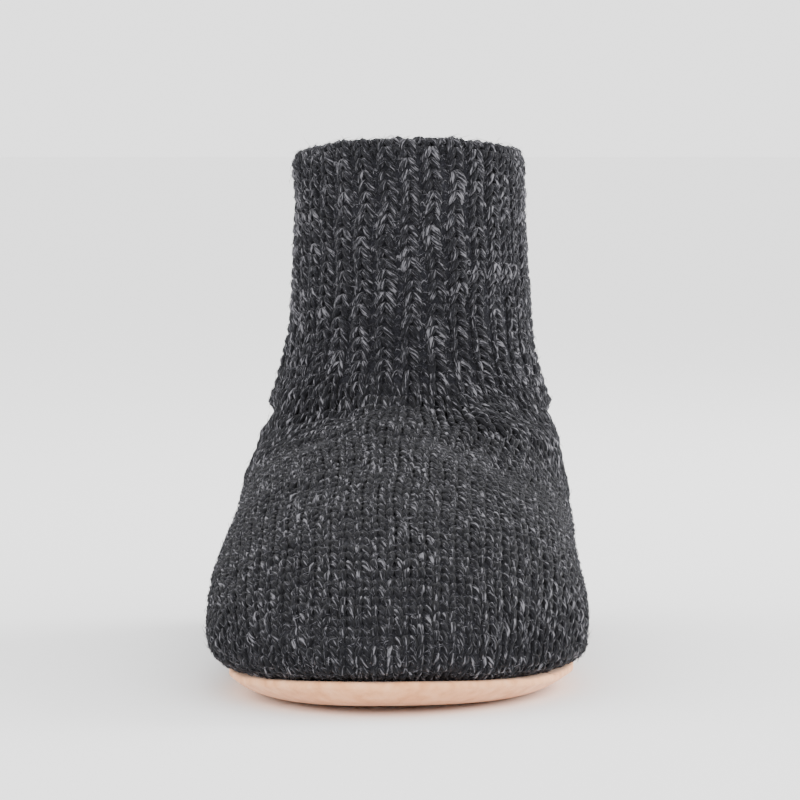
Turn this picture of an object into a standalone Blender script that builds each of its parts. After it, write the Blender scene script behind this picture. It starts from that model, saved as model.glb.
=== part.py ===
"""Slipper sock for the left foot: knitted wool upper, padded suede outsole and felt insole.

The toe points to -Y, the big toe's side is at -X and the floor is z = 0.
Tables are in shares of the driving sizes and everything else in millimetres: "along" is
measured from the back of the heel towards the toe, "up" from the floor, and "across"
from the middle of the ball towards the little toe.
"""

import math
from collections import namedtuple

import bmesh
import bpy
import numpy as np

MM = 0.001

# Driving sizes.
LENGTH = 274.0
BALL_WIDTH = 104.8
INSTEP = 72.0
HEIGHT = 148.0

WALL = 3.0
WELT_WALL = 5.0
WELT_DEPTH = 28.0
WELT_STEP = 2.5
TIP_WALL = 3.4
SOLE_THICKNESS = 6.6
INSOLE_THICKNESS = 3.0
FIT_GAP = 0.3

# One row for each section of the upper, from the collar to the toe. Each is a plane
# across the sock, from its front or top point to its back or low point.
# along, half, centre and axis: shares of LENGTH and of BALL_WIDTH.
# rise: 0 at the floor, 1 at the instep, 2 at the collar.
# wide: how far from top to low point the widest place lies; sag: how much lower it is,
# as a share of INSTEP. power and low_power: fullness above and below the widest place.
Section = namedtuple(
    "Section",
    "name top_along top_rise low_along low_rise wide sag half centre axis power low_power",
)
SECTIONS = [
    Section("collar", 0.3540, 2.0000, 0.0328, 2.0000, 0.500, 0.036, 0.3340, 0.0305, 0.0305, 2.1, 2.1),
    Section("welt", 0.3558, 1.8026, 0.0328, 1.7895, 0.500, 0.042, 0.3311, 0.0344, 0.0344, 2.1, 2.1),
    Section("shaft", 0.3577, 1.6053, 0.0328, 1.5789, 0.500, 0.028, 0.3378, 0.0353, 0.0353, 2.1, 2.1),
    Section("low shaft", 0.3595, 1.4079, 0.0321, 1.3618, 0.500, 0.014, 0.3454, 0.0372, 0.0363, 2.1, 2.1),
    Section("shin", 0.3620, 1.2368, 0.0299, 1.1645, 0.500, 0.000, 0.3578, 0.0363, 0.0353, 2.1, 2.1),
    Section("ankle", 0.3650, 1.1118, 0.0255, 0.9861, 0.500, 0.000, 0.3845, 0.0353, 0.0344, 2.1, 2.1),
    Section("fold top", 0.3701, 1.0421, 0.0197, 0.8542, 0.500, -0.014, 0.4046, 0.0353, 0.0334, 2.1, 2.1),
    Section("fold", 0.3796, 1.0000, 0.0131, 0.7292, 0.490, -0.047, 0.3922, 0.0372, 0.0315, 2.1, 2.1),
    Section("heel top", 0.3960, 0.9889, 0.0066, 0.6042, 0.480, -0.035, 0.4246, 0.0315, 0.0296, 2.2, 2.1),
    Section("heel", 0.4179, 0.9778, 0.0007, 0.4375, 0.480, -0.007, 0.4385, 0.0300, 0.0277, 2.3, 2.2),
    Section("heel turn", 0.4398, 0.9653, 0.0011, 0.2708, 0.510, 0.000, 0.4600, 0.0240, 0.0258, 2.4, 2.4),
    Section("heel corner", 0.4599, 0.9528, 0.0106, 0.1389, 0.535, 0.000, 0.4685, 0.0200, 0.0239, 2.4, 2.7),
    Section("heel seam", 0.4781, 0.9389, 0.0347, 0.0903, 0.560, 0.000, 0.4714, 0.0191, 0.0229, 2.4, 3.0),
    Section("heel side", 0.5109, 0.9111, 0.1533, 0.0903, 0.620, 0.000, 0.4760, 0.0200, 0.0191, 2.4, 3.0),
    Section("waist", 0.5529, 0.8792, 0.2920, 0.0903, 0.670, 0.000, 0.4781, 0.0105, 0.0143, 2.4, 3.0),
    Section("instep", 0.5985, 0.8472, 0.4234, 0.0903, 0.720, 0.000, 0.4866, 0.0057, 0.0086, 2.4, 3.0),
    Section("ball", 0.6515, 0.8056, 0.5474, 0.0903, 0.765, 0.000, 0.4952, 0.0000, 0.0019, 2.35, 3.0),
    Section("joints", 0.7099, 0.7569, 0.6606, 0.0903, 0.800, 0.000, 0.5000, 0.0010, -0.0057, 2.3, 3.0),
    Section("toes", 0.7701, 0.7042, 0.7518, 0.0903, 0.790, 0.000, 0.4890, -0.0010, -0.0181, 2.3, 3.0),
    Section("toe box", 0.8285, 0.6389, 0.8175, 0.0903, 0.773, 0.000, 0.4580, -0.0105, -0.0324, 2.3, 3.0),
    Section("toe cap", 0.8777, 0.5639, 0.8723, 0.0917, 0.741, 0.000, 0.4122, -0.0181, -0.0458, 2.25, 3.0),
    Section("toe front", 0.9197, 0.4778, 0.9161, 0.1000, 0.692, 0.000, 0.3531, -0.0248, -0.0573, 2.2, 3.0),
    Section("toe nose", 0.9544, 0.3861, 0.9526, 0.1139, 0.606, 0.000, 0.2786, -0.0296, -0.0630, 2.1, 2.8),
    Section("toe seam", 0.9781, 0.3056, 0.9708, 0.1250, 0.520, 0.000, 0.2099, -0.0410, -0.0668, 2.0, 2.4),
    Section("toe round", 0.9942, 0.2472, 0.9912, 0.1417, 0.500, 0.000, 0.1126, -0.0573, -0.0668, 2.0, 2.0),
    Section("toe tip", 1.0000, 0.1917, 1.0000, 0.1917, 0.500, 0.000, 0.0000, -0.0668, -0.0668, 2.0, 2.0),
]
NAMES = [s.name for s in SECTIONS]
HEEL_SEAM = NAMES.index("heel seam")
TOE_SEAM = NAMES.index("toe seam")
TIP = NAMES.index("toe tip")

# Edge of the outsole before its ends are rounded: shares of LENGTH and of BALL_WIDTH.
SoleRow = namedtuple("SoleRow", "along inner outer")
SOLE_ROWS = [
    SoleRow(0.000, 0.334, 0.391),
    SoleRow(0.146, 0.334, 0.391),
    SoleRow(0.292, 0.324, 0.401),
    SoleRow(0.438, 0.339, 0.415),
    SoleRow(0.566, 0.385, 0.440),
    SoleRow(0.693, 0.427, 0.457),
    SoleRow(0.785, 0.433, 0.458),
    SoleRow(1.000, 0.433, 0.458),
]
SOLE_BACK = 3.5
SOLE_FRONT = LENGTH - 2.0
HEEL_AXIS = 3.0
TOE_AXIS = -7.0

# Length of the rounded end of each edge, and its fullness.
Rounding = namedtuple("Rounding", "reach power")
HEEL_ROUND = Rounding(36.0, 2.2)
INNER_TOE_ROUND = Rounding(65.0, 1.9)
OUTER_TOE_ROUND = Rounding(82.0, 2.0)

TOE_SPRING = 2.8
TOE_SPRING_START = 0.78 * LENGTH
HEEL_LIFT = 0.8
HEEL_LIFT_END = 0.08 * LENGTH
ARCH_LIFT = 1.6
ARCH_START = 0.23 * LENGTH
ARCH_END = 0.60 * LENGTH
EDGE_CURL = 4.8
EDGE_CURL_WIDTH = 14.0
EDGE_CURL_POWER = 2.2

# How far in from the outsole's edge the upper ends underneath, and the flat middle starts.
LASTED_MARGIN = 6.0
FLAT_MARGIN = 24.0

# Distances in from the edge of the lines under the outsole, and over it with their drop.
UNDER_LINES = (FLAT_MARGIN, 14.0, 9.0, 5.5, 2.5, 0.8, 0.0)
OVER_LINES = ((0.0, 0.6), (0.7, 0.0), (8.0, 0.0), (FLAT_MARGIN, 0.0))

# Distances in from the insole's edge of its lines, with their share of its thickness.
INSOLE_GAP = 0.4
INSOLE_LINES = ((FLAT_MARGIN, 0.0), (0.5, 0.0), (0.0, 0.17), (0.0, 0.73), (0.9, 1.0), (FLAT_MARGIN, 1.0))

# Rounded collar edge: distance below the top, and depth as a share of the wall.
EDGE_ROUND = ((0.0, 0.5), (1.0, 0.22), (3.0, 0.04))

# Extra rows by number where the seam line turns round the heel and the toe.
HEEL_TURN_ROWS = (0.06, 0.14, 0.25, 0.38)
TOE_TURN_ROWS = (0.75, 0.5, 0.25, 0.1)
SHAFT_ROWS = 4

HALF_COLUMNS = 20
ARC_STEPS = 60
SOLE_STEPS = 30


def through(knots, values, at):
    """Smooth curve through values at knots, read at the places in at."""
    knots = np.asarray(knots, float)
    values = np.asarray(values, float)
    slopes = np.gradient(values, knots, axis=0)
    i = np.clip(np.searchsorted(knots, at, side="right") - 1, 0, len(knots) - 2)
    step = (knots[i + 1] - knots[i])[:, None]
    f = (at - knots[i])[:, None] / step
    start = (2 * f**3 - 3 * f**2 + 1) * values[i] + (f**3 - 2 * f**2 + f) * step * slopes[i]
    end = (3 * f**2 - 2 * f**3) * values[i + 1] + (f**3 - f**2) * step * slopes[i + 1]
    return start + end


def rounding(distance, inset, kind):
    """Share of full width at a distance from a rounded end, from 0 to 1."""
    f = 1.0 - np.clip(distance / (kind.reach - inset), 0.0, 1.0)
    return np.maximum(1.0 - f**kind.power, 0.0) ** (1.0 / kind.power)


def sole_edge(along, inset):
    """Inner and outer edge of the outsole at stations along, moved in by inset."""
    rows = np.array(SOLE_ROWS)
    halves = through(rows[:, 0] * LENGTH, rows[:, 1:] * BALL_WIDTH, along) - inset
    heel = rounding(along - SOLE_BACK - inset, inset, HEEL_ROUND)
    edges = []
    for across, kind in ((-halves[:, 0], INNER_TOE_ROUND), (halves[:, 1], OUTER_TOE_ROUND)):
        across = HEEL_AXIS + (across - HEEL_AXIS) * heel
        toe = rounding(SOLE_FRONT - inset - along, inset, kind)
        edges.append(TOE_AXIS + (across - TOE_AXIS) * toe)
    return edges


def toe_rise(along):
    """Height of the toe spring at stations along."""
    f = np.clip((along - TOE_SPRING_START) / (SOLE_FRONT - TOE_SPRING_START), 0.0, 1.0)
    return TOE_SPRING * f**2


def seam_up(along):
    """Underside of the upper and of the insole, just over the outsole."""
    return SOLE_THICKNESS + FIT_GAP + toe_rise(along)


def rise_up(rise):
    """Height above the floor of a rise from the sections table."""
    return INSTEP * np.minimum(rise, 1.0) + (HEIGHT - INSTEP) * np.maximum(rise - 1.0, 0.0)


def table(t):
    """Section sizes at row numbers t, in millimetres, as a Section of arrays."""
    rows = np.array([s[1:] for s in SECTIONS])
    at = Section("", *through(np.arange(len(rows)), rows, t).T)
    return at._replace(
        top_along=at.top_along * LENGTH,
        low_along=at.low_along * LENGTH,
        top_rise=rise_up(at.top_rise),
        low_rise=rise_up(at.low_rise),
        sag=at.sag * INSTEP,
        half=at.half * BALL_WIDTH,
        centre=at.centre * BALL_WIDTH,
        axis=at.axis * BALL_WIDTH,
    )


def row_numbers():
    """Row numbers of the upper's rings, closer together where the seam line turns."""
    numbers = set(np.arange(0.0, SHAFT_ROWS, 1.0))
    numbers |= set(np.arange(SHAFT_ROWS, TIP + 0.1, 0.5))
    numbers |= {HEEL_SEAM + extra for extra in HEEL_TURN_ROWS}
    numbers |= {TOE_SEAM - extra for extra in TOE_TURN_ROWS}
    return np.array(sorted(numbers))


def seam_numbers():
    """Row numbers from the heel seam to the toe seam, where the upper is open below."""
    numbers = row_numbers()
    return numbers[(numbers >= HEEL_SEAM) & (numbers <= TOE_SEAM)]


def turned(along, up, side):
    """Outward direction of a line in the middle plane, side 1 in front, -1 behind."""
    size = np.hypot(along, up) + 1e-9
    return -side * up / size, side * along / size


def widest(at, sign):
    """Place of the widest point on one side of the sections."""
    along = at.top_along + at.wide * (at.low_along - at.top_along)
    up = at.top_rise + at.wide * (at.low_rise - at.top_rise) - at.sag
    return np.stack([at.centre + sign * at.half, along, up], 1)


def guides(t, depth):
    """Top, widest and low points of the sections at rows t, depth below the surface."""
    step = 0.02
    before = table(np.maximum(t - step, 0.0))
    after = table(np.minimum(t + step, TIP))
    at = table(t)

    run = (after.top_along - before.top_along, after.top_rise - before.top_rise)
    out_along, out_up = turned(*run, 1)
    places = (at.axis, at.top_along - depth * out_along, at.top_rise - depth * out_up)
    top = np.stack(places, 1)

    wide = []
    for sign in (-1.0, 1.0):
        line = widest(after, sign) - widest(before, sign)
        line /= np.linalg.norm(line, axis=1)[:, None] + 1e-9
        out = np.array([sign, 0.0, 0.0]) - sign * line[:, :1] * line
        out /= np.linalg.norm(out, axis=1)[:, None]
        wide.append(widest(at, sign) - depth * out)

    open_below = (t >= HEEL_SEAM) & (t <= TOE_SEAM)
    run = (after.low_along - before.low_along, after.low_rise - before.low_rise)
    out_along, out_up = turned(*run, -1)
    out_along = np.where(open_below, 0.0, out_along)
    out_up = np.where(open_below, -1.0, out_up)
    up = np.where(open_below, seam_up(at.low_along), at.low_rise)
    low = []
    apart = (t > HEEL_SEAM) & (t < TOE_SEAM)
    for edge in sole_edge(np.clip(at.low_along, SOLE_BACK, SOLE_FRONT), LASTED_MARGIN):
        across = np.where(apart, edge, at.axis)
        places = (across, at.low_along - depth * out_along, up - depth * out_up)
        low.append(np.stack(places, 1))
    return top, wide, low, at


def half_section(top, wide, low, sag, power, low_power):
    """Points of one side of a section, from top through wide to low, evenly spaced."""
    angle = np.linspace(0.0, math.pi / 2, ARC_STEPS)[:, None]
    level = wide + np.array([0.0, 0.0, sag])
    arcs = []
    for tip, kind in ((top, power), (low, low_power)):
        centre = np.array([tip[0], level[1], level[2]])
        out = np.sin(angle) ** (2.0 / kind)
        arc = centre + (tip - centre) * np.cos(angle) ** (2.0 / kind) + (level - centre) * out
        arcs.append(arc - np.array([0.0, 0.0, sag]) * out**2)
    line = np.vstack([arcs[0], arcs[1][-2::-1]])
    steps = np.linalg.norm(np.diff(line, axis=0), axis=1)
    run = np.concatenate([[0.0], np.cumsum(steps)])
    places = np.linspace(0.0, run[-1], HALF_COLUMNS + 1)
    return np.stack([np.interp(places, run, line[:, k]) for k in range(3)], 1)


def wall_rows(t, depth):
    """Rows of points round the sock at rows t, depth below the outer surface."""
    top, wide, low, at = guides(np.asarray(t, float), depth)
    rows = []
    for k in range(len(top)):
        inner, outer = (
            half_section(top[k], wide[s][k], low[s][k], at.sag[k], at.power[k], at.low_power[k])
            for s in (0, 1)
        )
        rows.append(np.vstack([inner[::-1], outer[1:]]))
    return np.array(rows)


def in_metres(points):
    """Places (across, along, up) in millimetres as points in metres, heel at +Y."""
    across, along, up = np.asarray(points, float).T
    return np.stack([across, LENGTH / 2 - along, up], -1) * MM


def strip(a, b):
    """Quads between two equally long lines of point numbers."""
    return [[a[j], b[j], b[j + 1], a[j + 1]] for j in range(len(a) - 1)]


def add_solid(name, points, faces, collection):
    """One closed body from points and faces, welded and turned outward."""
    mesh = bpy.data.meshes.new(name)
    mesh.from_pydata(in_metres(points).tolist(), [], faces)
    body = bmesh.new()
    body.from_mesh(mesh)
    bmesh.ops.remove_doubles(body, verts=body.verts, dist=0.02 * MM)
    bmesh.ops.dissolve_degenerate(body, edges=body.edges, dist=0.001 * MM)
    bmesh.ops.recalc_face_normals(body, faces=body.faces)
    body.to_mesh(mesh)
    body.free()
    mesh.shade_smooth()
    mesh.set_sharp_from_angle(angle=math.radians(50))
    thing = bpy.data.objects.new(name, mesh)
    collection.objects.link(thing)
    return thing


def tip_rows(end):
    """Inner rows that close the toe in a round pocket, from row end to its tip."""
    tip = np.array([TOE_AXIS, LENGTH - TIP_WALL, SECTIONS[TIP].top_rise * INSTEP + 1.0])
    rows = []
    for turn in (0.35 * math.pi / 2, 0.7 * math.pi / 2, math.pi / 2):
        share = np.array([math.cos(turn), 1.0 - math.sin(turn), math.cos(turn)])
        rows.append(tip + (end - tip) * share)
    return rows


def make_upper(collection):
    """The knitted wall: inside from toe to collar, over its edge and outside back."""
    numbers = row_numbers()
    seam = seam_numbers()
    drop = HEIGHT - rise_up(SECTIONS[1].top_rise)
    edge_end = EDGE_ROUND[-1][0] / drop
    welt_end = WELT_DEPTH / drop
    wall_start = (WELT_DEPTH + WELT_STEP) / drop

    outer = [wall_rows([down / drop], WELT_WALL * share)[0] for down, share in EDGE_ROUND]
    outer += list(wall_rows(numbers[numbers > edge_end], 0.0))

    inner = [wall_rows([down / drop], WELT_WALL * (1 - share))[0] for down, share in EDGE_ROUND[1:]]
    in_welt = numbers[(numbers > edge_end) & (numbers < welt_end)]
    inner += list(wall_rows([*in_welt, welt_end], WELT_WALL))
    below_welt = numbers[(numbers > wall_start + 0.1) & (numbers <= TOE_SEAM)]
    inner += list(wall_rows([wall_start, *below_welt], WALL))
    tip = tip_rows(inner[-1])

    rows = [*tip[::-1], *inner[::-1], *outer]
    columns = len(rows[0])
    index = np.arange(len(rows) * columns).reshape(len(rows), columns)
    faces = []
    for k in range(len(rows) - 1):
        faces += strip(index[k], index[k + 1])

    inside = len(tip) + np.arange(len(seam))[::-1]
    first = len(rows) - np.sum(numbers >= HEEL_SEAM)
    outside = first + np.arange(len(seam))
    for column in (0, columns - 1):
        faces += strip(index[outside, column], index[inside, column])
    return add_solid("upper", np.vstack(rows), np.array(faces).tolist(), collection)


def sole_ring(inset, shares):
    """Closed line round the sole, moved in by inset, at shares of its length."""
    start = SOLE_BACK + inset
    end = SOLE_FRONT - inset
    along = start + (end - start) * shares
    inner, outer = sole_edge(along, inset)
    near = np.stack([inner, along], 1)
    far = np.stack([outer, along], 1)
    return np.vstack([near, far[-2:0:-1]])


def under_up(along, inset):
    """Height of the outsole's underside."""
    heel = np.clip((HEEL_LIFT_END - along) / (HEEL_LIFT_END - SOLE_BACK), 0.0, 1.0)
    arch = np.clip((along - ARCH_START) / (ARCH_END - ARCH_START), 0.0, 1.0)
    curl = EDGE_CURL * max(1.0 - inset / EDGE_CURL_WIDTH, 0.0) ** EDGE_CURL_POWER
    lift = HEEL_LIFT * heel**2 + ARCH_LIFT * np.sin(math.pi * arch) ** 2
    return toe_rise(along) + lift + curl


def ring_solid(name, rings, collection):
    """Solid through closed rings, its first and last ring closed across the foot."""
    size = len(rings[0])
    half = size // 2
    index = np.arange(len(rings) * size).reshape(len(rings), size)
    faces = []
    for k in range(len(rings) - 1):
        faces += strip([*index[k], index[k, 0]], [*index[k + 1], index[k + 1, 0]])
    for ring in (index[0], index[-1]):
        far = [ring[0], *ring[:half:-1], ring[half]]
        faces += strip(ring[: half + 1], far)
    faces = [[int(p) for p in dict.fromkeys(face)] for face in faces]
    return add_solid(name, np.vstack(rings), faces, collection)


def make_outsole(collection):
    """Padded suede sole: flat at heel and forefoot, lifted at the arch, edges curled up."""
    shares = (1 - np.cos(np.linspace(0, math.pi, SOLE_STEPS + 1))) / 2
    rings = []
    for inset in UNDER_LINES:
        ring = sole_ring(inset, shares)
        rings.append(np.column_stack([ring, under_up(ring[:, 1], inset)]))
    for inset, drop in OVER_LINES:
        ring = sole_ring(inset, shares)
        rings.append(np.column_stack([ring, seam_up(ring[:, 1]) - FIT_GAP - drop]))
    return ring_solid("outsole", rings, collection)


def make_insole(collection):
    """Felt insole lying on the outsole inside the upper's lasted margin."""
    along = table(seam_numbers()).low_along
    shares = (along - along[0]) / (along[-1] - along[0])
    rings = []
    for inset, share in INSOLE_LINES:
        edge = max(LASTED_MARGIN + INSOLE_GAP + inset, inset)
        ring = sole_ring(edge, shares)
        rings.append(np.column_stack([ring, seam_up(ring[:, 1]) + share * INSOLE_THICKNESS]))
    return ring_solid("insole", rings, collection)


def paint(thing, name, colour, roughness):
    """Gives thing a Principled material of an sRGB hex colour."""
    material = bpy.data.materials.new(name)
    material.use_nodes = True
    shader = material.node_tree.nodes["Principled BSDF"]
    channels = [int(colour[k : k + 2], 16) / 255 for k in (0, 2, 4)]
    linear = [c / 12.92 if c <= 0.04045 else ((c + 0.055) / 1.055) ** 2.4 for c in channels]
    shader.inputs["Base Color"].default_value = (*linear, 1.0)
    shader.inputs["Roughness"].default_value = roughness
    shader.inputs["Metallic"].default_value = 0.0
    thing.data.materials.append(material)


def main():
    """Clears the scene and makes the slipper sock."""
    for old in list(bpy.data.objects):
        bpy.data.objects.remove(old, do_unlink=True)
    collection = bpy.data.collections.new("slipper sock")
    bpy.context.scene.collection.children.link(collection)
    paint(make_outsole(collection), "suede", "E1C1AF", 0.9)
    paint(make_insole(collection), "wool felt", "8A857F", 0.95)
    paint(make_upper(collection), "wool knit", "3C3C40", 0.95)


main()
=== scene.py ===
"""Looks of the left slipper sock: knitted stitch by stitch in wool, on a suede sole.

Lengths are millimetres in the row frame: across +X to the little toe's side, toe to -Y, up +Z.
The shape's tables are those of the CAD source. Two families of lines lie on it: wales, which
run from inside the collar over its edge and down to the sole's seam, and courses across them.
Every stitch is one short length of yarn placed by its wale and course.
"""

import math
from collections import namedtuple

import bmesh
import bpy
import numpy as np
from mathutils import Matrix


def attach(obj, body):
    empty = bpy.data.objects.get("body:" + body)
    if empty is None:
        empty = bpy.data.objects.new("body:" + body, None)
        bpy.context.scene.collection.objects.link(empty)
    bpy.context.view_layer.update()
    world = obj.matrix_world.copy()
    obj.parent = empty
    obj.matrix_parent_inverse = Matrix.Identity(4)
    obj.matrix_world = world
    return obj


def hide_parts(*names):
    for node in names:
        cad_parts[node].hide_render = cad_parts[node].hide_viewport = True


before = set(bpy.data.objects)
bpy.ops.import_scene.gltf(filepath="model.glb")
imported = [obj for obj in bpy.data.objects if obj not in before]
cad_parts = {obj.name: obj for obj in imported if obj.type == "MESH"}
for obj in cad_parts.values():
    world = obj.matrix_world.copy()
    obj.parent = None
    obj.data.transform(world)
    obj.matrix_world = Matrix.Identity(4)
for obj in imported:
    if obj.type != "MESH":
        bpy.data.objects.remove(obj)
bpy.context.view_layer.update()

MM = 0.001
RANDOM = np.random.default_rng(41)

# Driving sizes and tables, as in the CAD source.
LENGTH = 274.0
BALL_WIDTH = 104.8
INSTEP = 72.0
HEIGHT = 148.0
WALL = 3.0
WELT_WALL = 5.0
WELT_DEPTH = 28.0
TIP_WALL = 3.4
SOLE_THICKNESS = 6.6
INSOLE_THICKNESS = 3.0
FIT_GAP = 0.3

Section = namedtuple(
    "Section",
    "name top_along top_rise low_along low_rise wide sag half centre axis power low_power",
)
SECTIONS = [Section(*row) for row in (
    ("collar", 0.3540, 2.0000, 0.0328, 2.0000, 0.500, 0.036, 0.3340, 0.0305, 0.0305, 2.1, 2.1),
    ("welt", 0.3558, 1.8026, 0.0328, 1.7895, 0.500, 0.042, 0.3311, 0.0344, 0.0344, 2.1, 2.1),
    ("shaft", 0.3577, 1.6053, 0.0328, 1.5789, 0.500, 0.028, 0.3378, 0.0353, 0.0353, 2.1, 2.1),
    ("low shaft", 0.3595, 1.4079, 0.0321, 1.3618, 0.500, 0.014, 0.3454, 0.0372, 0.0363, 2.1, 2.1),
    ("shin", 0.3620, 1.2368, 0.0299, 1.1645, 0.500, 0.000, 0.3578, 0.0363, 0.0353, 2.1, 2.1),
    ("ankle", 0.3650, 1.1118, 0.0255, 0.9861, 0.500, 0.000, 0.3845, 0.0353, 0.0344, 2.1, 2.1),
    ("fold top", 0.3701, 1.0421, 0.0197, 0.8542, 0.500, -0.014, 0.4046, 0.0353, 0.0334, 2.1, 2.1),
    ("fold", 0.3796, 1.0000, 0.0131, 0.7292, 0.490, -0.047, 0.3922, 0.0372, 0.0315, 2.1, 2.1),
    ("heel top", 0.3960, 0.9889, 0.0066, 0.6042, 0.480, -0.035, 0.4246, 0.0315, 0.0296, 2.2, 2.1),
    ("heel", 0.4179, 0.9778, 0.0007, 0.4375, 0.480, -0.007, 0.4385, 0.0300, 0.0277, 2.3, 2.2),
    ("heel turn", 0.4398, 0.9653, 0.0011, 0.2708, 0.510, 0.000, 0.4600, 0.0240, 0.0258, 2.4, 2.4),
    ("heel corner", 0.4599, 0.9528, 0.0106, 0.1389, 0.535, 0.000, 0.4685, 0.0200, 0.0239, 2.4, 2.7),
    ("heel seam", 0.4781, 0.9389, 0.0347, 0.0903, 0.560, 0.000, 0.4714, 0.0191, 0.0229, 2.4, 3.0),
    ("heel side", 0.5109, 0.9111, 0.1533, 0.0903, 0.620, 0.000, 0.4760, 0.0200, 0.0191, 2.4, 3.0),
    ("waist", 0.5529, 0.8792, 0.2920, 0.0903, 0.670, 0.000, 0.4781, 0.0105, 0.0143, 2.4, 3.0),
    ("instep", 0.5985, 0.8472, 0.4234, 0.0903, 0.720, 0.000, 0.4866, 0.0057, 0.0086, 2.4, 3.0),
    ("ball", 0.6515, 0.8056, 0.5474, 0.0903, 0.765, 0.000, 0.4952, 0.0000, 0.0019, 2.35, 3.0),
    ("joints", 0.7099, 0.7569, 0.6606, 0.0903, 0.800, 0.000, 0.5000, 0.0010, -0.0057, 2.3, 3.0),
    ("toes", 0.7701, 0.7042, 0.7518, 0.0903, 0.790, 0.000, 0.4890, -0.0010, -0.0181, 2.3, 3.0),
    ("toe box", 0.8285, 0.6389, 0.8175, 0.0903, 0.773, 0.000, 0.4580, -0.0105, -0.0324, 2.3, 3.0),
    ("toe cap", 0.8777, 0.5639, 0.8723, 0.0917, 0.741, 0.000, 0.4122, -0.0181, -0.0458, 2.25, 3.0),
    ("toe front", 0.9197, 0.4778, 0.9161, 0.1000, 0.692, 0.000, 0.3531, -0.0248, -0.0573, 2.2, 3.0),
    ("toe nose", 0.9544, 0.3861, 0.9526, 0.1139, 0.606, 0.000, 0.2786, -0.0296, -0.0630, 2.1, 2.8),
    ("toe seam", 0.9781, 0.3056, 0.9708, 0.1250, 0.520, 0.000, 0.2099, -0.0410, -0.0668, 2.0, 2.4),
    ("toe round", 0.9942, 0.2472, 0.9912, 0.1417, 0.500, 0.000, 0.1126, -0.0573, -0.0668, 2.0, 2.0),
    ("toe tip", 1.0000, 0.1917, 1.0000, 0.1917, 0.500, 0.000, 0.0000, -0.0668, -0.0668, 2.0, 2.0),
)]
NAMES = [s.name for s in SECTIONS]
ANKLE = NAMES.index("ankle")
HEEL_SEAM = NAMES.index("heel seam")
BALL = NAMES.index("ball")
JOINTS = NAMES.index("joints")
TOE_SEAM = NAMES.index("toe seam")
TIP = NAMES.index("toe tip")

# The outsole's places along it, and its half widths on the inner and the outer side.
SOLE_ROWS = np.array([
    (0.000, 0.334, 0.391),
    (0.146, 0.334, 0.391),
    (0.292, 0.324, 0.401),
    (0.438, 0.339, 0.415),
    (0.566, 0.385, 0.440),
    (0.693, 0.427, 0.457),
    (0.785, 0.433, 0.458),
    (1.000, 0.433, 0.458),
])
SOLE_BACK = 3.5
SOLE_FRONT = LENGTH - 2.0
HEEL_AXIS = 3.0
TOE_AXIS = -7.0

Rounding = namedtuple("Rounding", "reach power")
HEEL_ROUND = Rounding(36.0, 2.2)
INNER_TOE_ROUND = Rounding(65.0, 1.9)
OUTER_TOE_ROUND = Rounding(82.0, 2.0)

TOE_SPRING = 2.8
TOE_SPRING_START = 0.78 * LENGTH
HEEL_LIFT = 0.8
HEEL_LIFT_END = 0.08 * LENGTH
ARCH_LIFT = 1.6
ARCH_START = 0.23 * LENGTH
ARCH_END = 0.60 * LENGTH
EDGE_CURL = 4.8
EDGE_CURL_WIDTH = 14.0
EDGE_CURL_POWER = 2.2
LASTED_MARGIN = 6.0
EDGE_TUCK = 1.0

# The felt is pressed this far into the upper's margin, so that no gap shows round it.
FELT_PRESS = 0.8

# Down the shaft one row of the table lies this far below the last.
ROW_DROP = 15.0
SHAFT_AXIS = 3.2

# Lines of the sole and the insole: distance in from the edge, with the drop from the top
# face or the share of the thickness.
UNDER_LINES = (24, 20, 17, 14, 12, 10, 8.5, 7, 5.6, 4.4, 3.3, 2.4, 1.6, 0.9, 0.35, 0.0)
OVER_LINES = ((-0.15, 0.9), (0.0, 0.4), (0.3, 0.1), (0.8, 0.0), (3, 0), (8, 0), (14, 0), (24, 0))
INSOLE_LINES = (
    (24, 0), (8, 0), (0.5, 0), (0, 0.17), (0, 0.7), (0.3, 0.9), (1, 1), (3, 1), (8, 1), (24, 1)
)

# The ground behind the stitches: its top's drop from the collar's edge, how far under the
# surface its outer side lies, and its inner side in the welt, behind the stitches inside.
GROUND_TOP = 2.1
GROUND_DEPTH = 1.3
WELT_GROUND = 3.1

# The knit. Wales are counted from the middle of the front, courses from the collar's edge.
HALF_WALES = 35
RIB_COURSE = 3.27
INSTEP_COURSE = 4.9
FOOT_WALE = 4.2
FIRST_COURSE = -14.0
LAST_COURSE = 110.0
STEPS = 4
RUN_OUT = 6.0
HEEL_FROM = 25.0
TOE_FROM = -70.0

# Over the toe the wales' numbers are this share of the way from even over the girth to
# straight along the foot. Under its widest line lie lines this deep, and where they meet the
# foot's sides their numbers pass over to the sides' within this length.
UPRIGHT = 0.7
BAND_DEPTH = 13.0
BAND_REACH = 50.0

# The rib is whole above the first height and gone below the second. In it knit wales spread
# by a share of their width and rise, purl wales narrow by that share and sink. The radii are
# half the yarn's thickness.
RIB_TOP = 91.0
RIB_END = 67.0
RIB_SPREAD = 0.52
KNIT_RISE = 0.1
PURL_SINK = 0.9
YARN_RADIUS = 1.04
PURL_RADIUS = 0.92

# The collar's edge is a half ellipse this deep, where knit wales make domes and purl wales
# dips. At the ankle the stitches slant to the sides, and at the sole's seam they stand out.
EDGE_ROLL = 4.5
EDGE_DOME = 1.1
EDGE_DIP = 1.5
ANKLE_SLANT = 0.4
SEAM_RISE = 0.9

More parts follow.
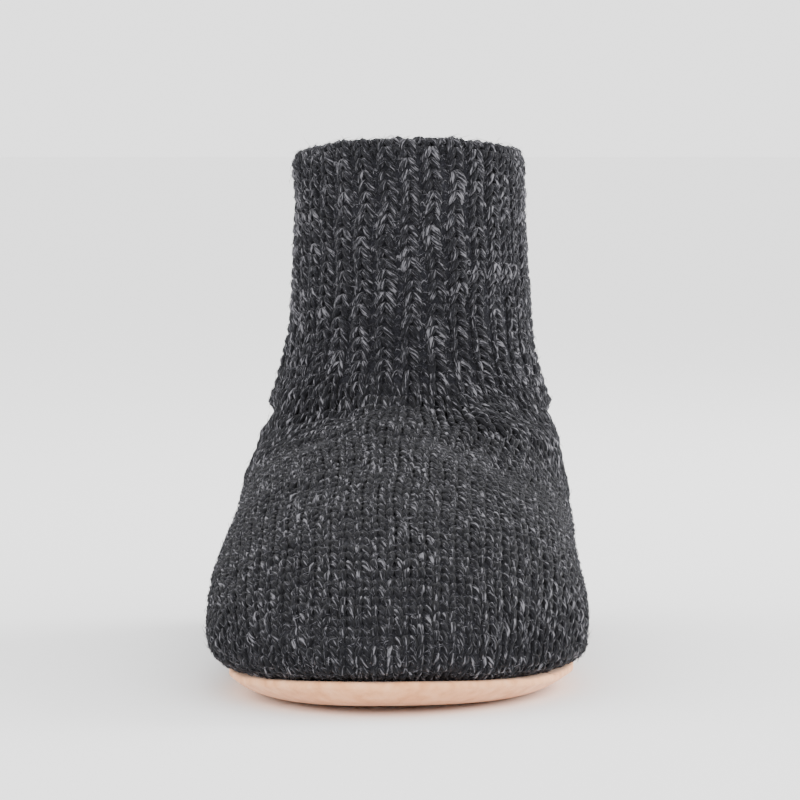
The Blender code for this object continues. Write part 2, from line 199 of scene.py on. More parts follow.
# One stitch's yarn: across in wale widths, down in courses, out in millimetres, and share of
# the yarn's full thickness.
KNIT_LOOP = np.array([
    (-0.37, 1.42, -1.40, 0.60),
    (-0.34, 1.05, -0.45, 0.88),
    (-0.29, 0.65, 0.02, 1.00),
    (-0.23, 0.26, -0.22, 0.92),
    (-0.02, -0.10, -1.60, 0.50),
    (0.17, 0.23, -0.22, 0.92),
    (0.26, 0.62, 0.00, 1.00),
    (0.34, 1.04, -0.45, 0.86),
    (0.40, 1.42, -1.40, 0.60),
])
RIB_LOOP = np.array([
    (-0.45, 1.42, -1.40, 0.60),
    (-0.42, 1.06, -0.60, 0.88),
    (-0.28, 0.64, 0.00, 1.00),
    (-0.12, 0.24, 0.00, 0.94),
    (0.00, -0.08, -1.40, 0.50),
    (0.10, 0.20, -0.05, 0.94),
    (0.26, 0.60, 0.02, 1.00),
    (0.41, 1.02, -0.55, 0.88),
    (0.46, 1.42, -1.40, 0.60),
])
PURL_LOOP = np.array([
    (-0.70, 0.75, -1.40, 0.60),
    (-0.54, 0.50, -0.75, 0.85),
    (-0.38, 0.24, -0.25, 1.00),
    (-0.20, 0.05, 0.00, 1.00),
    (0.00, -0.02, 0.05, 1.00),
    (0.20, 0.06, 0.00, 1.00),
    (0.38, 0.26, -0.25, 1.00),
    (0.54, 0.52, -0.75, 0.85),
    (0.70, 0.78, -1.40, 0.60),
])
STITCH_MIDDLE = len(KNIT_LOOP) // 2

# Points round the yarn, its twist in radians a millimetre, and how much finer its streaks
# are drawn on the foot, and again in the rib.
YARN_SIDES = 5
TWIST = -0.36
FOOT_FINENESS = 1.25
RIB_FINENESS = 0.35

# The wool's fuzz: hairs for each stitch, and one hair's half thickness and usual length. A
# real one is 0.03 mm thick; these are drawn 0.11 mm, so that they show.
HAIRS = 8
HAIR_RADIUS = 0.055
HAIR_LENGTH = 2.0

# Creases at the ankle seen from the front: x and z of both ends, depth and width.
Crease = namedtuple("Crease", "x0 z0 x1 z1 depth width")
CREASES = [Crease(*row) for row in (
    (6.0, 71.5, 47.0, 49.0, 2.0, 4.6),
    (12.0, 78.5, 48.0, 59.0, -0.8, 3.6),
    (12.0, 70.3, 21.0, 69.3, 1.3, 2.4),
    (19.0, 65.5, 29.0, 63.7, 1.4, 2.4),
    (26.0, 61.0, 35.0, 58.0, 1.4, 2.4),
    (34.0, 68.5, 44.0, 64.5, 1.1, 2.4),
    (-12.0, 72.5, -43.0, 60.0, 1.9, 4.6),
    (-12.0, 80.0, -42.0, 69.0, -0.8, 3.6),
    (-11.0, 71.0, -21.0, 71.5, 1.2, 2.4),
    (-22.0, 70.0, -31.0, 68.0, 1.3, 2.4),
    (-20.0, 65.0, -30.0, 62.5, 1.0, 2.4),
)]

# The studio, in metres and watts.
FLOOR_HALF = 40.0
SURROUND_STRENGTH = 2.3
SOFTBOX_SIZE = 0.9
SOFTBOX_AIM = np.array((0.0, 0.0, 0.06))
Softbox = namedtuple("Softbox", "name place watts")
SOFTBOXES = [
    Softbox("right softbox", (1.25, 0.65, 0.55), 28.0),
    Softbox("left softbox", (-1.3, 0.2, 0.5), 4.0),
    Softbox("front softbox", (0.5, -1.6, 0.9), 6.0),
]

# The camera. Its lens is 4,775 pixels long where the picture is 800 wide, and it looks down
# so far that its own level lies 260 pixels above the picture's middle.
CAMERA_PLACE = (0.0007, -1.352, 0.148)
CAMERA_DIP = math.atan(260 / 4775)
LENS = 214.9


def through(knots, values, at):
    """Smooth curve through values at knots, read at the places in at."""
    knots = np.asarray(knots, float)
    values = np.asarray(values, float)
    slopes = np.gradient(values, knots, axis=0)
    i = np.clip(np.searchsorted(knots, at, side="right") - 1, 0, len(knots) - 2)
    step = (knots[i + 1] - knots[i])[:, None]
    f = (at - knots[i])[:, None] / step
    start = (2 * f**3 - 3 * f**2 + 1) * values[i] + (f**3 - 2 * f**2 + f) * step * slopes[i]
    end = (3 * f**2 - 2 * f**3) * values[i + 1] + (f**3 - f**2) * step * slopes[i + 1]
    return start + end


def ease(f):
    """0 below 0, 1 above 1, and 3f^2 - 2f^3 between."""
    f = np.clip(f, 0.0, 1.0)
    return f * f * (3.0 - 2.0 * f)


def unit(vectors):
    """Vectors scaled to length 1."""
    return vectors / (np.linalg.norm(vectors, axis=-1, keepdims=True) + 1e-12)


def rounding(distance, inset, kind):
    """Share of full width at a distance from a rounded end: (1 - f^p)^(1/p), f falling from 1."""
    f = 1.0 - np.clip(distance / (kind.reach - inset), 0.0, 1.0)
    return np.maximum(1.0 - f**kind.power, 0.0) ** (1.0 / kind.power)


def sole_edge(along, inset):
    """Inner and outer edge of the outsole at stations along, moved in by inset."""
    halves = through(SOLE_ROWS[:, 0] * LENGTH, SOLE_ROWS[:, 1:] * BALL_WIDTH, along) - inset
    heel = rounding(along - SOLE_BACK - inset, inset, HEEL_ROUND)
    edges = []
    for across, kind in ((-halves[:, 0], INNER_TOE_ROUND), (halves[:, 1], OUTER_TOE_ROUND)):
        across = HEEL_AXIS + (across - HEEL_AXIS) * heel
        toe = rounding(SOLE_FRONT - inset - along, inset, kind)
        edges.append(TOE_AXIS + (across - TOE_AXIS) * toe)
    return edges


def toe_rise(along):
    """Height of the toe spring: a parabola from its start to the sole's front."""
    f = np.clip((along - TOE_SPRING_START) / (SOLE_FRONT - TOE_SPRING_START), 0.0, 1.0)
    return TOE_SPRING * f**2


def seam_up(along):
    """Underside of the upper and of the insole, just over the outsole."""
    return SOLE_THICKNESS + FIT_GAP + toe_rise(along)


def table(t):
    """Section sizes at row numbers t, in millimetres, as a Section of arrays."""
    rows = np.array([s[1:] for s in SECTIONS])
    at = Section("", *through(np.arange(len(rows)), rows, t).T)

    def rise_up(rise):
        return INSTEP * np.minimum(rise, 1.0) + (HEIGHT - INSTEP) * np.maximum(rise - 1.0, 0.0)

    return at._replace(
        top_along=at.top_along * LENGTH,
        low_along=at.low_along * LENGTH,
        top_rise=rise_up(at.top_rise),
        low_rise=rise_up(at.low_rise),
        sag=at.sag * INSTEP,
        half=at.half * BALL_WIDTH,
        centre=at.centre * BALL_WIDTH,
        axis=at.axis * BALL_WIDTH,
    )


def turned(along, up, side):
    """Outward direction of a line in the middle plane, side 1 in front, -1 behind."""
    size = np.hypot(along, up) + 1e-9
    return -side * up / size, side * along / size


def widest(at, sign):
    """Place of the widest point on one side of the sections."""
    along = at.top_along + at.wide * (at.low_along - at.top_along)
    up = at.top_rise + at.wide * (at.low_rise - at.top_rise) - at.sag
    return np.stack([at.centre + sign * at.half, along, up], 1)


def guides(t, depth):
    """Top, widest and low points of the sections at rows t, each depth below the surface."""
    near = 0.02
    before = table(np.maximum(t - near, 0.0))
    after = table(np.minimum(t + near, TIP))
    at = table(t)

    run = (after.top_along - before.top_along, after.top_rise - before.top_rise)
    out_along, out_up = turned(*run, 1)
    top = np.stack([at.axis, at.top_along - depth * out_along, at.top_rise - depth * out_up], 1)

    wide = []
    for sign in (-1.0, 1.0):
        line = unit(widest(after, sign) - widest(before, sign))
        out = unit(np.array([sign, 0.0, 0.0]) - sign * line[:, :1] * line)
        wide.append(widest(at, sign) - depth[:, None] * out)

    open_below = (t >= HEEL_SEAM) & (t <= TOE_SEAM)
    run = (after.low_along - before.low_along, after.low_rise - before.low_rise)
    out_along, out_up = turned(*run, -1)
    out_along = np.where(open_below, 0.0, out_along)
    out_up = np.where(open_below, -1.0, out_up)
    up = np.where(open_below, seam_up(at.low_along), at.low_rise)
    apart = (t > HEEL_SEAM) & (t < TOE_SEAM)
    low = []
    for edge in sole_edge(np.clip(at.low_along, SOLE_BACK, SOLE_FRONT), LASTED_MARGIN):
        across = np.where(apart, edge, at.axis)
        low.append(np.stack([across, at.low_along - depth * out_along, up - depth * out_up], 1))
    return top, wide, low, at


def read_lines(places, values, at):
    """Values of each line read between its places, which rise; at holds places per line."""
    at = np.clip(at, places[:, :1], places[:, -1:])
    shift = (places.max() - places.min() + 1.0) * np.arange(len(places))[:, None]
    flat = (places + shift).ravel()
    spot = (at + shift).ravel()
    read = [np.interp(spot, flat, column) for column in values.reshape(flat.size, -1).T]
    return np.stack(read, -1).reshape(*at.shape, -1)


def run_along(lines):
    """Distance along each line of points from its first."""
    steps = np.linalg.norm(np.diff(lines, axis=1), axis=2)
    return np.concatenate([np.zeros((len(lines), 1)), np.cumsum(steps, 1)], 1)


def evenly(lines, count):
    """Lines of points read again at count places evenly spaced along each."""
    run = run_along(lines)
    return read_lines(run, lines, run[:, -1:] * np.linspace(0.0, 1.0, count))


def arc(tip, level, sag, kind):
    """Superellipse quarters from tips to the widest level, |u|^k + |v|^k = 1, dropped by sag v^2."""
    angle = np.linspace(0.0, math.pi / 2, 60)[None, :, None]
    kind = kind[:, None, None]
    centre = np.stack([tip[:, 0], level[:, 1], level[:, 2]], 1)[:, None, :]
    out = np.sin(angle) ** (2.0 / kind)
    line = centre + (tip[:, None] - centre) * np.cos(angle) ** (2.0 / kind)
    line = line + (level[:, None] - centre) * out
    line[..., 2] -= sag[:, None] * out[..., 0] ** 2
    return line


def in_frame(points):
    """Places (across, along, up) turned to the row frame: the heel at +Y."""
    return points * [1.0, -1.0, 1.0] + [0.0, LENGTH / 2, 0.0]


def sections(t, depth, whole=True, half_columns=80):
    """Rows of points round the sock at rows t, depth below its surface.

    A row goes from its low point on the inner side over the top to the outer side, or from
    widest to widest point where whole is False.
    """
    t = np.asarray(t, float)
    top, wide, low, at = guides(t, np.broadcast_to(np.asarray(depth, float), t.shape))
    sides = []
    for s in (0, 1):
        level = wide[s] + np.stack([0 * t, 0 * t, at.sag], 1)
        line = arc(top, level, at.sag, at.power)
        if whole:
            line = np.concatenate([line, arc(low[s], level, at.sag, at.low_power)[:, -2::-1]], 1)
        sides.append(evenly(line, half_columns + 1))
    return in_frame(np.concatenate([sides[0][:, ::-1], sides[1][:, 1:]], 1))


def softened(t, depth, half_columns=80):
    """Sections averaged over their neighbours where the shaft's front turns into the instep."""
    t = np.asarray(t, float)
    plain = sections(t, depth, half_columns=half_columns)
    reach = 1.5 * ease((t - 3.5) / 2.5) * (1.0 - ease((t - 8.5) / 4.0))
    mean = 0.0
    for share in np.linspace(-1.0, 1.0, 9):
        mean = mean + sections(t + share * reach, depth, half_columns=half_columns) / 9.0
    column = np.abs(np.linspace(-1.0, 1.0, plain.shape[1]))[:, None]
    return mean + (plain - mean) * ease((column - 0.2) / 0.3)


def outward(rows):
    """Unit normals of a grid of points whose rows go from collar to toe."""
    return unit(np.cross(np.gradient(rows, axis=0), np.gradient(rows, axis=1)))


def dipped(points):
    """Points of the shaft with the collar's rolled edge drawn in, and lower at its two sides."""
    x, z = points[..., 0] - SHAFT_AXIS, points[..., 2]
    high = ease((z - 118.0) / 30.0)
    side = ease((np.abs(x) - 19.0) / 18.0) * high * np.where(x > 0.0, 0.45, 1.0)
    drawn = 2.4 * ease((z - 137.0) / 12.0) ** 2 * np.abs(x / 35.0) ** 3
    return points + np.stack([-np.sign(x) * drawn, 0 * x, 0.5 * high - 2.0 * side], -1)


def creased(points, normals, under=0.0):
    """Points moved along their normals into the ankle's creases and its soft ridges between.

    A trough is a Gaussian of the distance from its line, seen from the front, with a ridge of
    a third of its depth on each side. Where the depth is negative it's a ridge. Where points
    move by 1 mm or more they're also sunk by under.
    """
    x, z = points[..., 0], points[..., 2]
    front = 1.0 - ease((points[..., 1] - 55.0) / 35.0)
    move = np.zeros(x.shape)
    for c in CREASES:
        run = np.array([c.x1 - c.x0, c.z1 - c.z0])
        size = np.hypot(*run)
        f = ((x - c.x0) * run[0] + (z - c.z0) * run[1]) / size**2
        off = ((z - c.z0) * run[0] - (x - c.x0) * run[1]) / size
        fade = ease((f + 0.15) / 0.35) * ease((1.15 - f) / 0.35)
        near = (off / c.width) ** 2
        move += c.depth * fade * (0.33 * np.exp(-near / 5.0) - 1.33 * np.exp(-near))
    move = move * front
    move = move - under * np.minimum(np.abs(move), 1.0)
    return points + normals * move[..., None]


def lower_toe(x, along):
    """Points of the upper below its widest line at plan places (x, along) of the toe.

    The row t is found by five steps of a slope search, and the height from its superellipse.
    """
    side = x > TOE_AXIS
    t = np.interp(along, LENGTH * np.array([s.low_along for s in SECTIONS]), np.arange(len(SECTIONS)))
    for _ in range(5):
        values = []
        for at_t in (t, np.minimum(t, TIP - 0.01) + 0.01):
            wide, low, at = guides(at_t, np.zeros(at_t.shape))[1:]
            wide = np.where(side[:, None], wide[1], wide[0])
            low = np.where(side[:, None], low[1], low[0])
            f = np.clip((x - low[:, 0]) / (wide[:, 0] - low[:, 0] + 1e-9), 0.0, 1.0)
            g = (1.0 - f**at.low_power) ** (1.0 / at.low_power)
            values.append(wide[:, 1] + (low[:, 1] - wide[:, 1]) * g)
        step = np.minimum(t, TIP - 0.01) + 0.01 - t
        slope = np.where(step > 1e-6, (values[1] - values[0]) / np.maximum(step, 1e-6), 5.0)
        t = np.clip(t + np.clip((along - values[0]) / np.maximum(slope, 1.0), -1, 1), JOINTS - 1, TIP)
    up = wide[:, 2] + at.sag + (low[:, 2] - wide[:, 2] - at.sag) * g - at.sag * f**2
    return np.stack([x, along, up], -1)


def wale_grids():
    """Surface grids with the wale number at every point, in order down the sock.

    Down to the joints a row is a whole section, its wales an equal share of its girth down
    to the heel's seam and 4.2 mm wide from the ball on. Beyond, a row is the part over the
    widest line, and last come lines round the toe below it, down to the sole's seam.
    """
    down = np.linspace(WELT_DEPTH, EDGE_ROLL, 14)[:-1]
    turn = np.linspace(0.0, math.pi, 15)
    edge_down = EDGE_ROLL * (1.0 - np.sin(turn))
    outer = np.arange(EDGE_ROLL / ROW_DROP, JOINTS - 0.04, 0.08)[1:]
    t = np.concatenate([down / ROW_DROP, edge_down / ROW_DROP, outer, [JOINTS]])
    depth = np.concatenate([0 * down + WELT_WALL, WELT_WALL / 2 * (1 + np.cos(turn)), 0 * outer, [0.0]])
    body = softened(t, depth)
    middle = body.shape[1] // 2
    body = dipped(creased(body, outward(body)))
    girth = run_along(body)
    girth -= girth[:, middle : middle + 1]
    seam_rows = t >= HEEL_SEAM
    first_seam = np.argmax(seam_rows)
    wales = []
    for side in (girth[:, : middle + 1], girth[:, middle:]):
        total = np.abs(side).max(1)
        width = total / HALF_WALES
        width = np.where(seam_rows, width[first_seam], width)
        width += (FOOT_WALE - width) * ease((t - HEEL_SEAM) / (BALL - HEEL_SEAM))
        wales.append(side / width[:, None])
    wales = np.concatenate([wales[0][:, :-1], wales[1]], 1)

    toe_t = np.linspace(JOINTS, TIP - 0.002, 170)
    toe = sections(toe_t, 0.0, whole=False)
    girth = run_along(toe)
    low_x, high_x = toe[:, :1, 0], toe[:, -1:, 0]
    start_x = body[-1, middle, 0]
    inside = np.clip(start_x, low_x, high_x)
    girth -= read_lines(toe[..., 0], girth, inside)[..., 0] + (start_x - inside)
    straight = np.interp(toe[..., 0], toe[0, :, 0], girth[0] / FOOT_WALE)
    toe_wales = (1.0 - UPRIGHT) * girth / FOOT_WALE + UPRIGHT * straight

    outline = np.concatenate([toe[:, 0], toe[::-1, -1]])
    number = np.concatenate([toe_wales[:, 0], toe_wales[::-1, -1]])
    run = run_along(outline[None])
    places = run[:, -1:] * np.linspace(0.0, 1.0, 200)
    number = read_lines(run, number[None, :, None], places)[0, :, 0]
    outline = read_lines(run, outline[None], places)[0]
    along = LENGTH / 2 - outline[:, 1]
    slope = np.gradient(np.stack([outline[:, 0], along], 1), axis=0)
    kernel = np.ones(9) / 9
    slope = np.stack([np.convolve(np.pad(s, 4, mode="edge"), kernel, "valid") for s in slope.T], 1)
    slope = unit(slope)
    inward = np.stack([slope[:, 1], -slope[:, 0]], 1)
    reach = BAND_DEPTH * np.linspace(0.0, 1.0, 60) ** 2
    x = (outline[:, :1] + inward[:, :1] * reach).ravel()
    y = (along[:, None] + inward[:, 1:] * reach).ravel()
    band = lower_toe(x, y)
    edges = sole_edge(np.clip(y, SOLE_BACK, SOLE_FRONT), LASTED_MARGIN)
    within = (x > edges[0]) & (x < edges[1]) & (y < SOLE_FRONT - LASTED_MARGIN)
    band = in_frame(band).reshape(len(outline), len(reach), 3)
    last = np.argmax(within.reshape(len(outline), -1), 1)
    last = np.where(last == 0, len(reach) - 1, last)
    run = run_along(band)
    levels = np.linspace(0.0, 1.0, 24)
    band = read_lines(run, band, run[np.arange(len(run)), last][:, None] * levels)
    band = band.transpose(1, 0, 2)
    place = places[0]
    more = (wales[-1, -1] - number[-1]) * (1.0 - ease((place[-1] - place) / BAND_REACH))
    less = (wales[-1, 0] - number[0]) * (1.0 - ease(place / BAND_REACH))
    band_wales = number + levels[:, None] * (more + less)
    t = np.concatenate([t, toe_t[1:], 0 * levels + TIP])
    return [(body, wales), (toe[1:], toe_wales[1:]), (band, band_wales)], t, depth


def wale_lines():
    """One line down each wale, read evenly along the courses.

    Returns the wales' numbers, their lines and their first and last courses. A line's facts
    are place, normal, the vector across to the next wale and the rib's share, with a fixed
    number of steps for each course from FIRST_COURSE. A course is 3.27 mm, and up to 4.9 mm
    on the instep's middle wales. Past both ends a line runs out straight.
    """
    grids, t, depth = wale_grids()
    edge_row = np.argmin(np.abs(depth - WELT_WALL / 2))
    body = len(depth)
    ankle_row = np.argmin(np.abs(t[:body] - (ANKLE + 0.5)) + 99 * (depth > 0))
    joint_row = body - 1
    numbers = np.arange(-HALF_WALES + 1, HALF_WALES + 1)
    signs = np.where(numbers < 0, -1.0, 1.0)
    places, sides, normals, valid = [], [], [], []
    for points, wales in grids:
        at = np.broadcast_to(numbers.astype(float), (len(points), len(numbers)))
        here = read_lines(wales, points, at)
        beside = read_lines(wales, points, at - 0.5 * signs)
        places.append(here)
        sides.append((here - beside) * 2.0 * signs[:, None])
        normals.append(unit(read_lines(wales, outward(points), at)))
        valid.append((at >= wales[:, :1] - 1e-6) & (at <= wales[:, -1:] + 1e-6))
    places, sides, normals, valid = (np.concatenate(p) for p in (places, sides, normals, valid))
    shown = depth[:, None] <= WELT_WALL / 2
    rib = np.zeros(places.shape[:2])
    rib[:body] = np.where(shown, ease((places[:body, :, 2] - RIB_END) / (RIB_TOP - RIB_END)), 1.0)
    front = 1.0 - ease((np.abs(numbers) - 12.0) / 10.0)
    long = ease((t - ANKLE) / 3.0) * (1.0 - ease((t - JOINTS) / 7.0))
    pitch = RIB_COURSE + (INSTEP_COURSE - RIB_COURSE) * long[:, None] * front

    course = np.arange(FIRST_COURSE, LAST_COURSE, 1.0 / STEPS)
    lines = []
    for w in range(len(numbers)):
        keep = valid[:, w]
        line = places[keep, w]
        facts = np.column_stack([line, normals[keep, w], sides[keep, w], rib[keep, w]])
        run = run_along(line[None])[0]
        rows = np.flatnonzero(keep)
        here = pitch[keep, w]
        count = np.concatenate([[0.0], np.cumsum(np.diff(run) * 2.0 / (here[1:] + here[:-1]))])
        count -= count[np.searchsorted(rows, edge_row)]
        start = count[np.searchsorted(rows, ankle_row)]
        if keep[joint_row]:
            joint = count[np.searchsorted(rows, joint_row)]
            share = np.clip((count - start) / (joint - start), 0.0, 1.0)
            count += (np.round(joint) - joint) * share
            start = np.round(joint)
        share = np.clip((count - start) / (count[-1] - start), 0.0, 1.0)
        count += (np.round(count[-1]) - count[-1]) * share
        ends = count[[0, -1]]
        ahead = unit(line[-1] - line[-4]) * RUN_OUT
        behind = unit(line[0] - line[3]) * RUN_OUT
        facts = np.vstack([facts[0], facts, facts[-1]])
        facts[0, :3] += behind
        facts[-1, :3] += ahead
        before, after = count[0] - RUN_OUT / here[0], count[-1] + RUN_OUT / here[-1]
        count = np.concatenate([[before], count, [after]])
        read = np.column_stack([np.interp(course, count, column) for column in facts.T])
        soft = np.ones(3) / 3
        for column in read.T:
            column[1:-1] = np.convolve(column, soft, "valid")
        lines.append((read, *ends))
    facts = np.stack([line[0] for line in lines])
    first = np.array([line[1] for line in lines])
    last = np.array([line[2] for line in lines])
    return numbers, facts, first, last


def waver(places, period):
    """Sum of four sines across the places, their size about 1 and their periods near period."""
    total = 0.0
    for _ in range(4):
        way = RANDOM.normal(0.0, 1.0, 3)
        way *= 2.0 * math.pi / (period * RANDOM.uniform(0.7, 1.4) * np.linalg.norm(way))
        total = total + 0.5 * np.sin(places @ way + RANDOM.uniform(0.0, 6.28))
    return total


def stitches():
    """Every stitch of the knit: its yarn's middle line, frame and facts, as arrays.

    Point p of a stitch lies on its wale's line at course + v_p, moved across by u_p wale
    widths and out by n_p, all three a little loose at random. In the rib every second wale
    is purl, down to a random course between the rib's two heights. Knit wales are there half
    as wide again and purl wales half as wide. Domes and dips are Gaussians of the courses
    from the edge, 1.6 wide, and the seam's rise of those from the seam, 1.3 wide.
    """
    numbers, facts, first, last = wale_lines()
    wale = []
    course = []
    for w in range(len(numbers)):
        here = np.arange(np.ceil(first[w] + 0.1), last[w] - 0.75)
        wale.append(np.full(len(here), w))
        course.append(here)
    wale = np.concatenate(wale)
    course = np.concatenate(course)
    count = len(wale)

    def read(at):
        place = (at - FIRST_COURSE) * STEPS
        i = np.clip(place.astype(int), 0, facts.shape[1] - 2)
        f = (place - i)[..., None]
        rows = wale[:, None] if at.ndim == 2 else wale
        return facts[rows, i] * (1 - f) + facts[rows, i + 1] * f

    rib = read(course + 0.5)[:, 9]
    odd = numbers[wale] % 2 == 1
    purl = odd & (rib > RANDOM.uniform(0.3, 0.7, count))
    loop = KNIT_LOOP + (RIB_LOOP - KNIT_LOOP) * rib[:, None, None]
    loop = np.where(purl[:, None, None], PURL_LOOP, loop)
    wander = RANDOM.normal(0.0, 1.0, (count, 6)) * (0.7 - 0.15 * rib[:, None])
    across = loop[..., 0] * (1.0 + 0.10 * wander[:, :1])
    across = across + 0.05 * wander[:, 1:2] + 0.09 * wander[:, 4:5] * (loop[..., 1] - 0.6)
    down = course[:, None] + loop[..., 1] * (1.0 + 0.06 * wander[:, 5:6]) + 0.10 * wander[:, 2:3]
    at = read(down)
    place, normal, side = at[..., :3], unit(at[..., 3:6]), at[..., 6:9]
    across = across + 0.10 * waver(place, 26.0)
    at_ankle = ease((place[..., 2] - 38.0) / 15.0) * (1.0 - ease((place[..., 2] - 82.0) / 22.0))
    outer = np.clip(place[..., 0] / 28.0, -1.0, 1.0)
    across = across + ANKLE_SLANT * at_ankle * outer * (loop[..., 1] - 0.65)
    along = unit(read(down + 0.3)[..., :3] - read(down - 0.3)[..., :3])
    side = side - along * (side * along).sum(-1, keepdims=True)
    width = np.clip(np.linalg.norm(side, axis=-1), 2.8, 5.0)
    side = unit(side - normal * (side * normal).sum(-1, keepdims=True))
    share = at[..., 9]
    width = width * (1.0 + np.where(odd, -RIB_SPREAD, RIB_SPREAD)[:, None] * share)
    out = loop[..., 2] + 0.16 * wander[:, 3:4] + 0.20 * waver(place, 17.0)
    out = out - np.where(odd[:, None], PURL_SINK, -KNIT_RISE) * share
    at_edge = np.exp(-((down / 1.6) ** 2))
    across = across * (1.0 - 0.3 * at_edge)
    out = out + np.where(odd[:, None], -EDGE_DIP, EDGE_DOME) * at_edge
    out = out + SEAM_RISE * np.exp(-(((last[wale][:, None] - down) / 1.3) ** 2))
    thick = np.where(purl, PURL_RADIUS, YARN_RADIUS + 0.1 * rib)
    radius = loop[..., 3] * thick[:, None] * (1.0 + 0.09 * RANDOM.normal(0, 1, (count, 1)))
    middle = place + side * (across * width)[..., None] + normal * (out - thick[:, None])[..., None]
    return middle, normal, radius, purl, rib


def rings_round(lines, facing, angle):
    """Unit circles square to each line of points, at angles from the side across facing."""
    along = unit(np.gradient(lines, axis=1))
    beside = unit(np.cross(along, facing))
    over = np.cross(beside, along)
    return beside[:, :, None] * np.cos(angle)[:, None] + over[:, :, None] * np.sin(angle)[:, None]


def yarn_mesh(middle, normal, radius):
    """Closed tubes along the middle lines: a ring of YARN_SIDES points round each point.

    Also gives for every point its place on the yarn: the length along it from a random
    start, and the two parts of its twisted direction round the yarn, times the radius. Its
    crest highlight is the sine of its angle round the yarn, less 0.3: painted highlight on
    the yarn's outer side and painted shade on its inner side.
    """
    count, steps = middle.shape[:2]
    angle = math.pi / 2 + np.arange(YARN_SIDES) * 2 * math.pi / YARN_SIDES
    points = middle[:, :, None] + rings_round(middle, normal, angle) * radius[..., None, None]
    index = np.arange(count * steps * YARN_SIDES).reshape(count, steps, YARN_SIDES)
    turned_on = np.roll(index, -1, axis=2)
    quads = np.stack([index[:, :-1], index[:, 1:], turned_on[:, 1:], turned_on[:, :-1]], -1)
    caps = np.concatenate([index[:, 0], index[:, -1, ::-1]])
    run = run_along(middle) + RANDOM.uniform(0.0, 4000.0, (count, 1))
    twist = angle + run[..., None] * TWIST
    size = radius[..., None]
    yarn = np.stack([run[..., None] + 0 * twist, np.cos(twist) * size, np.sin(twist) * size], -1)
    # Painted highlight on the yarn's outer side and painted shade on its inner side.
    crest_highlight = np.broadcast_to(np.sin(angle) - 0.3, twist.shape)
    return points.reshape(-1, 3), [quads.reshape(-1, 4), caps], yarn.reshape(-1, 3), crest_highlight.ravel()


def map_cells(count):
    """A square map of count cells: its cells a side, and each cell's lower left corner."""
    grid = math.ceil(math.sqrt(count))
    return grid, np.stack([np.arange(count) % grid, np.arange(count) // grid], 1) / grid


def yarn_map(count, steps):
    """Corner places of the tubes' faces on a map: one small cell for every stitch."""
    grid, cell = map_cells(count)
    p = np.arange(steps - 1)[:, None]
    s = np.arange(YARN_SIDES)
    wide = 0.9 / (steps + 1)
    left, right = (p + 1) * wide + 0 * s, (p + 2) * wide + 0 * s
    low, high = s * 0.9 / YARN_SIDES + 0 * p, (s + 1) * 0.9 / YARN_SIDES + 0 * p
    corners = ((left, low), (right, low), (right, high), (left, high))
    quads = np.stack([np.stack(c, -1) for c in corners], 2)
    quads = quads[None] / grid + cell[:, None, None, None]
    angle = np.arange(YARN_SIDES) * 2 * math.pi / YARN_SIDES
    disc = np.stack([np.cos(angle), np.sin(angle)], 1) * 0.4 * wide + 0.5 * wide
    start = disc[None] / grid + cell[:, None]
    end = (disc + [steps * wide, 0.0])[None] / grid + cell[:, None]
    return np.concatenate([quads.reshape(-1, 2), start.reshape(-1, 2), end[:, ::-1].reshape(-1, 2)])


def add_piece(name, points, faces, material, node, facts=None, places=None):
    """One object of the slipper sock from points, lists of equal faces and their facts."""
    mesh = bpy.data.meshes.new(name)
    mesh.vertices.add(len(points))
    mesh.vertices.foreach_set("co", (points * MM).astype(np.float32).ravel())
    corners = np.concatenate([f.ravel() for f in faces]).astype(np.int32)
    sizes = np.concatenate([np.full(len(f), f.shape[1]) for f in faces])
    mesh.loops.add(len(corners))
    mesh.loops.foreach_set("vertex_index", corners)
    mesh.polygons.add(len(sizes))
    starts = np.concatenate([[0], np.cumsum(sizes)[:-1]]).astype(np.int32)
    mesh.polygons.foreach_set("loop_start", starts)
    mesh.update(calc_edges=True)
    mesh.validate()
    mesh.shade_smooth()
    for kind, values in (facts or {}).items():
        form = "FLOAT_VECTOR" if values.ndim == 2 else "FLOAT"
        attribute = mesh.attributes.new(kind, form, "POINT")
        field = "vector" if values.ndim == 2 else "value"
        attribute.data.foreach_set(field, values.astype(np.float32).ravel())
    if places is not None:
        layer = mesh.uv_layers.new(name="OFBake")
        layer.data.foreach_set("uv", places.astype(np.float32).ravel())
    mesh.materials.append(material)
    thing = bpy.data.objects.new(name, mesh)
    bpy.context.scene.collection.objects.link(thing)
    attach(thing, "root")
    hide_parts(node)
    return thing


